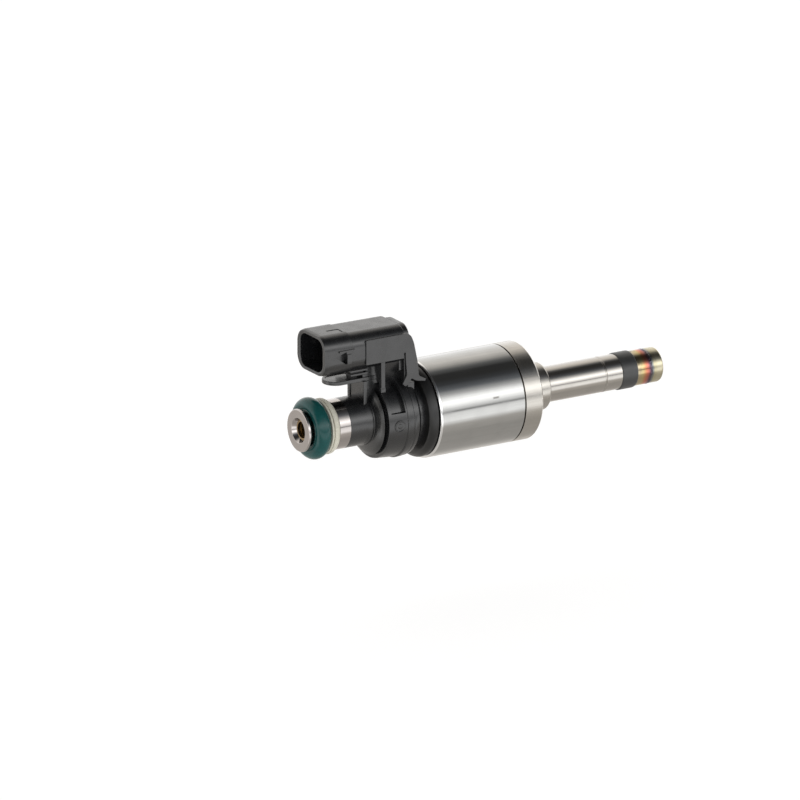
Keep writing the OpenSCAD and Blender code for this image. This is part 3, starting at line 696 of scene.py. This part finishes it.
def make_pedestal():
    """The stalk that carries the connector, with the web, the lips and the ribs around it."""
    rear = DRUM_REAR - 1.3
    lip_rear = SHROUD_REAR + 7.8
    shape = bmesh.new()
    block(shape, (rear, 0.3 - TONGUE_HALF_W, 3.6), (DRUM_REAR + 3, TONGUE_HALF_W - 0.3, SHROUD_Z))
    block(shape, (DRUM_REAR + 2.4, -2, 5), (SHROUD_FRONT + 0.4, 2, SHROUD_BOTTOM + 1.6), draft=(0, -2.9))
    block(
        shape, (lip_rear + 1.4, 1.6 - TONGUE_HALF_W, TONGUE_Z),
        (DRUM_REAR + 3, TONGUE_HALF_W - 1.6, SHROUD_Z)
    )
    lip_half_w = TONGUE_HALF_W + 0.3
    for drop, narrow in ((1.35, 0), (0.6, 0.15)):
        block(
            shape, (lip_rear, narrow - lip_half_w, SHROUD_BOTTOM - drop),
            (lip_rear + 4.2, lip_half_w - narrow, SHROUD_BOTTOM - drop + 0.5)
        )
    block(
        shape, (lip_rear + 0.2, 0.6 - lip_half_w, SHROUD_BOTTOM - 1.3),
        (lip_rear + 4, lip_half_w - 0.6, SHROUD_BOTTOM + 1)
    )
    soften(shape, 0.12)
    ribs = bmesh.new()
    block(ribs, (rear - 0.2, -TONGUE_HALF_W - 0.5, 3.9), (rear + 0.7, 0.5 - TONGUE_HALF_W, TONGUE_Z + 0.1))
    edge = rear + 0.5
    brace = [(edge, 4.2), (edge, TONGUE_Z), (rear + 3.4, TONGUE_Z), (rear + 2.2, 7), (rear + 1.2, 5)]
    plate(ribs, brace, -TONGUE_HALF_W + 0.1, 0.5)
    soften(ribs, 0.14)
    on_both_sides(ribs)
    make("connector_pedestal", shape, "black_moulding", "connector_housing")
    make("pedestal_ribs", ribs, "black_moulding", "connector_housing")


def make_tongue():
    """The plate under the connector, with a round end and a sunk top."""
    centre = SHROUD_REAR + 3.1 + TONGUE_HALF_W
    front, thick, steps = DRUM_REAR + 1.6, 0.8, 24
    points = []
    for step in range(steps + 1):
        angle = radians(90 + 180 * step / steps)
        points.append((centre + TONGUE_HALF_W * cos(angle), TONGUE_HALF_W * sin(angle)))
    points += [(front, -TONGUE_HALF_W), (front, TONGUE_HALF_W)]
    shape = bmesh.new()
    top = plate(shape, points, TONGUE_Z, thick, flat="XY")
    bmesh.ops.recalc_face_normals(shape, faces=shape.faces)
    bmesh.ops.inset_region(shape, faces=[top], thickness=0.55, depth=0)
    bmesh.ops.inset_region(shape, faces=[top], thickness=0.08, depth=-0.14)
    soften(shape, 0.14, sharp=60)
    make("locating_tongue", shape, "black_moulding", "connector_housing")


def make_side_plates():
    """A plate lies on each side of the shroud, and its leg comes down to a forked foot."""
    x, half_w = SHROUD_FRONT, SHROUD_W / 2
    low, high = SHROUD_Z - 2.75, SHROUD_Z + 2.6
    slit, slit_w, foot, thick = x - 0.5, 0.35, DRUM_R - 1.2, 0.5
    outline = [
        (x - 9.7, low, 0.15), (x - 9.7, high, 0.15), (x + 0.4, high, 0.9), (x + 1.3, high - 0.8, 0.5),
        (x + 1.9, SHROUD_Z + 0.3, 0.5), (x + 2.8, SHROUD_Z - 4, 0.5), (x + 3.1, foot + 1.4, 0.4),
        (x + 4.8, foot + 0.5, 0.1), (x + 4.6, foot, 0.1), (x + 2.4, foot + 0.4, 0.4),
        (x + 1.3, foot + 1.1, 0.15), (x + 0.6, foot - 0.3, 0.15), (x - 0.9, foot + 0.1, 0.15),
        (x + 0.2, foot + 2, 0.3),
        (slit + slit_w, low, 0.2), (slit + slit_w, low + 1.2, 0.1), (slit, low + 1.2, 0.1), (slit, low, 0.1)
    ]
    shape = bmesh.new()
    plate(shape, eased(outline), -half_w - 0.2, thick)
    soften(shape, 0.2, sharp=60)
    make("side_plates", on_both_sides(shape), "black_moulding", "connector_housing")
    legs = bmesh.new()
    side = half_w - 0.3
    block(legs, (x - 0.2, -side, foot + 1.4), (x + 1.6, -3, SHROUD_Z - 1))
    block(legs, (x + 0.7, -side + 0.05, 5), (x + 2.3, 1.4 - side, foot + 0.1))
    block(legs, (x - 1, -4.7, foot + 2.8), (x - 0.2, -3.9, low))
    block(legs, (x - 0.1, -5.2, 6.4), (x + 1.2, -2.5, foot + 1.6))
    post = DRUM_REAR + 1.5
    block(legs, (post, 0.1 - side, 7), (post + 1, 0.6 - side, low + 0.5))
    block(legs, (post - 0.1, -side, 6.8), (post + 1.1, 1 - side, 8), draft=(0.05, 0.1))
    soften(legs, 0.12)
    make("plate_supports", on_both_sides(legs), "black_moulding", "connector_housing")


def make_terminals():
    """Two blades with coined tips, each bent down to the coil."""
    leg, thick = SHROUD_FRONT - 2, 0.6
    for side in ("left", "right"):
        low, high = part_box("terminal_pin_" + side)
        (rear, level, bottom), (front, far, top) = ([part / MM for part in end] for end in (low, high))
        shape = bmesh.new()
        outline = [
            (rear, top - 0.42), (rear, top - 0.18), (rear + 0.9, top), (leg, top, 0.5),
            (leg, bottom + thick, 0.2), (front, bottom + thick), (front, bottom),
            (leg - thick, bottom, 0.4), (leg - thick, top - thick, 0.2), (rear + 0.9, top - thick)
        ]
        plate(shape, eased(outline), level, far - level)
        soften(shape, 0.06, sharp=60, segments=2)
        make("terminal_blade_" + side, shape, "terminal_tin", "terminal_pin_" + side)


# ---------------------------------------------------------------- steel body and nozzle

def make_can():
    """The can around the coil, and the soft ring that closes its rear end."""
    inner_r, gasket_bore_r = CAN_R - 0.9, DRUM_R - 1.4
    turned("coil_can", "can_steel", [
        (CAN_REAR, inner_r, 0.1), (CAN_REAR, CAN_R - 0.25, 0.1), (CAN_REAR + 0.3, CAN_R, 0.25),
        (CAN_FRONT - 0.02, CAN_R, 0.06), (CAN_FRONT - 0.02, CAN_R - 0.75), (CAN_FRONT, CAN_R - 0.75),
        (CAN_FRONT, inner_r)
    ], "magnet_housing")
    turned("can_gasket", "black_rubber", [
        (SEAL_RING_REAR, gasket_bore_r), (SEAL_RING_REAR, SEAL_RING_R - 0.95, 0.2),
        (SEAL_RING_REAR + 0.55, SEAL_RING_R - 0.3, 0.35), (SEAL_RING_REAR + 1.15, SEAL_RING_R, 0.35),
        (SEAL_RING_FRONT - 0.3, SEAL_RING_R - 0.05, 0.3), (SEAL_RING_FRONT - 0.02, SEAL_RING_R - 0.45, 0.15),
        (SEAL_RING_FRONT - 0.02, gasket_bore_r)
    ], "housing_seal_ring")


def make_collar():
    """Collar, neck and the tube that the armature runs in."""
    neck_r, chamber_r, pole_r = 5.1, 4.3, 4.9
    coil_front = CAN_FRONT - 2.8
    turned("collar_and_neck", "collar_steel", [
        (HOUSING_REAR, chamber_r), (HOUSING_REAR, pole_r), (coil_front, pole_r), (coil_front, CAN_R - 0.9),
        (CAN_FRONT, CAN_R - 0.9), (CAN_FRONT, CAN_R - 0.8), (CAN_FRONT + 0.3, CAN_R - 0.8),
        (CAN_FRONT + 0.32, CAN_R, 0.08), (-0.4, CAN_R, 0.08), (0, CAN_R - 0.4, 0.08), (0, neck_r + 0.35, 0.3),
        (0.35, neck_r, 0.3), (NECK_FRONT, neck_r, 1.3), (NECK_FRONT, TUBE_R + 0.02, 0.05),
        (TUBE_REAR, TUBE_R), (TUBE_REAR, chamber_r)
    ], "lower_housing")


def make_nozzle():
    """The barrel with its welded joint, the seal near its end and the weld that holds the seat."""
    bore_r, seal_bore_r = TUBE_R - 1.15, TUBE_R - 0.4
    weld_x = SEAL_REAR - 3.9
    turned("nozzle_barrel", "nozzle_steel", [
        (TUBE_REAR, bore_r), (TUBE_REAR, TUBE_R, 0.1), (weld_x - 0.25, TUBE_R, 0.1),
        (weld_x - 0.12, TUBE_R - 0.2, 0.05), (weld_x + 0.08, TUBE_R - 0.2, 0.05),
        (weld_x + 0.2, TUBE_R + 0.03, 0.12), (weld_x + 0.5, TUBE_R, 0.1), (SEAL_REAR, TUBE_R, 0.08),
        (SEAL_REAR, seal_bore_r), (SEAL_FRONT, seal_bore_r), (SEAL_FRONT, TUBE_R - 0.05, 0.08),
        (TUBE_FRONT, TUBE_R - 0.05, 0.06), (TUBE_FRONT, bore_r)
    ], "nozzle_tube")
    turned("head_seal", "black_fluoropolymer", [
        (SEAL_REAR, seal_bore_r), (SEAL_REAR, SEAL_R - 0.08, 0.1), (SEAL_REAR + 0.3, SEAL_R, 0.2),
        (SEAL_FRONT - 0.3, SEAL_R, 0.2), (SEAL_FRONT, SEAL_R - 0.08, 0.1), (SEAL_FRONT, seal_bore_r)
    ], "combustion_seal")
    weld = ring(bmesh.new(), eased([
        (TUBE_FRONT - 0.3, TUBE_R - 0.3), (TUBE_FRONT - 0.3, TUBE_R - 0.05, 0.05), (TUBE_FRONT, TUBE_R, 0.2),
        (TUBE_FRONT + 0.3, TUBE_R - 0.1, 0.05), (TUBE_FRONT + 0.3, TUBE_R - 0.3)
    ]))
    ripples, height, slant = 36, 0.006, 4
    for corner in weld.verts:
        ripple = 1 + height * sin(ripples * atan2(corner.co.z, corner.co.y) + slant * corner.co.x)
        corner.co.y *= ripple
        corner.co.z *= ripple
    make("tip_weld", weld, "seat_steel")


# ---------------------------------------------------------------- inside

def make_spring(name, node, wire, turns, body, joint):
    """A round wire, spun about the axis as it moves along it."""
    low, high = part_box(node)
    rear, front = low[0] / MM + wire / 2, high[0] / MM - wire / 2
    radius = high[1] / MM - wire / 2
    per_turn = 36
    steps = turns * per_turn
    shape = bmesh.new()
    made = bmesh.ops.create_circle(shape, segments=12, radius=wire / 2, cap_ends=True)["verts"]
    bmesh.ops.rotate(shape, verts=made, cent=(0, 0, 0), matrix=Matrix.Rotation(pi / 2, 3, "X"))
    bmesh.ops.translate(shape, verts=made, vec=(rear, 0, radius))
    bmesh.ops.spin(
        shape, geom=shape.verts[:] + shape.edges[:] + shape.faces[:], cent=(0, 0, 0), axis=(1, 0, 0),
        dvec=((front - rear) / steps, 0, 0), angle=2 * pi * turns, steps=steps
    )
    spring = make(name, shape, "spring_steel", node, body=body)
    travel = next(row["range_m"][1] for row in frame["joints"] if row["name"] == joint)
    keep = 1 - travel / (high[0] - low[0])
    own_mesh(spring)


def make_winding():
    """The coil's outer layer shows its turns of wire."""
    rear, front, outer_r = span("coil_winding")
    inner_r, wire, steps = 5.9, 0.4, 6
    turns = int((front - rear) / wire)
    pitch = (front - rear) / turns
    points = [(rear, inner_r)]
    for number in range(turns):
        for step in range(steps):
            angle = pi * (1 - step / steps)
            x = rear + pitch * (number + 0.5 + 0.5 * cos(angle))
            points.append((x, outer_r - pitch / 2 + pitch / 2 * sin(angle)))
    points += [(front, outer_r - pitch / 2), (front, inner_r)]
    make("wound_coil", ring(bmesh.new(), points), "copper_wire", "coil_winding")


aim_camera()
light_studio()
lay_floor()
slots = {row["node"]: row["material_slot"] for row in frame["record"]["subparts"]}
for node, thing in frame["nodes"].items():
    thing.data.materials.clear()
    thing.data.materials.append(LOOKS[slots[node]])
make_inlet()
make_drum()
make_gate_mark()
make_shroud()
make_pedestal()
make_tongue()
make_side_plates()
make_terminals()
make_can()
make_collar()
make_nozzle()
make_spring("return_spring", "closing_spring", 0.55, 8, BODY, "needle_lift")
make_spring("damping_spring", "armature_spring", 0.22, 3, "needle", "armature_travel")
make_winding()
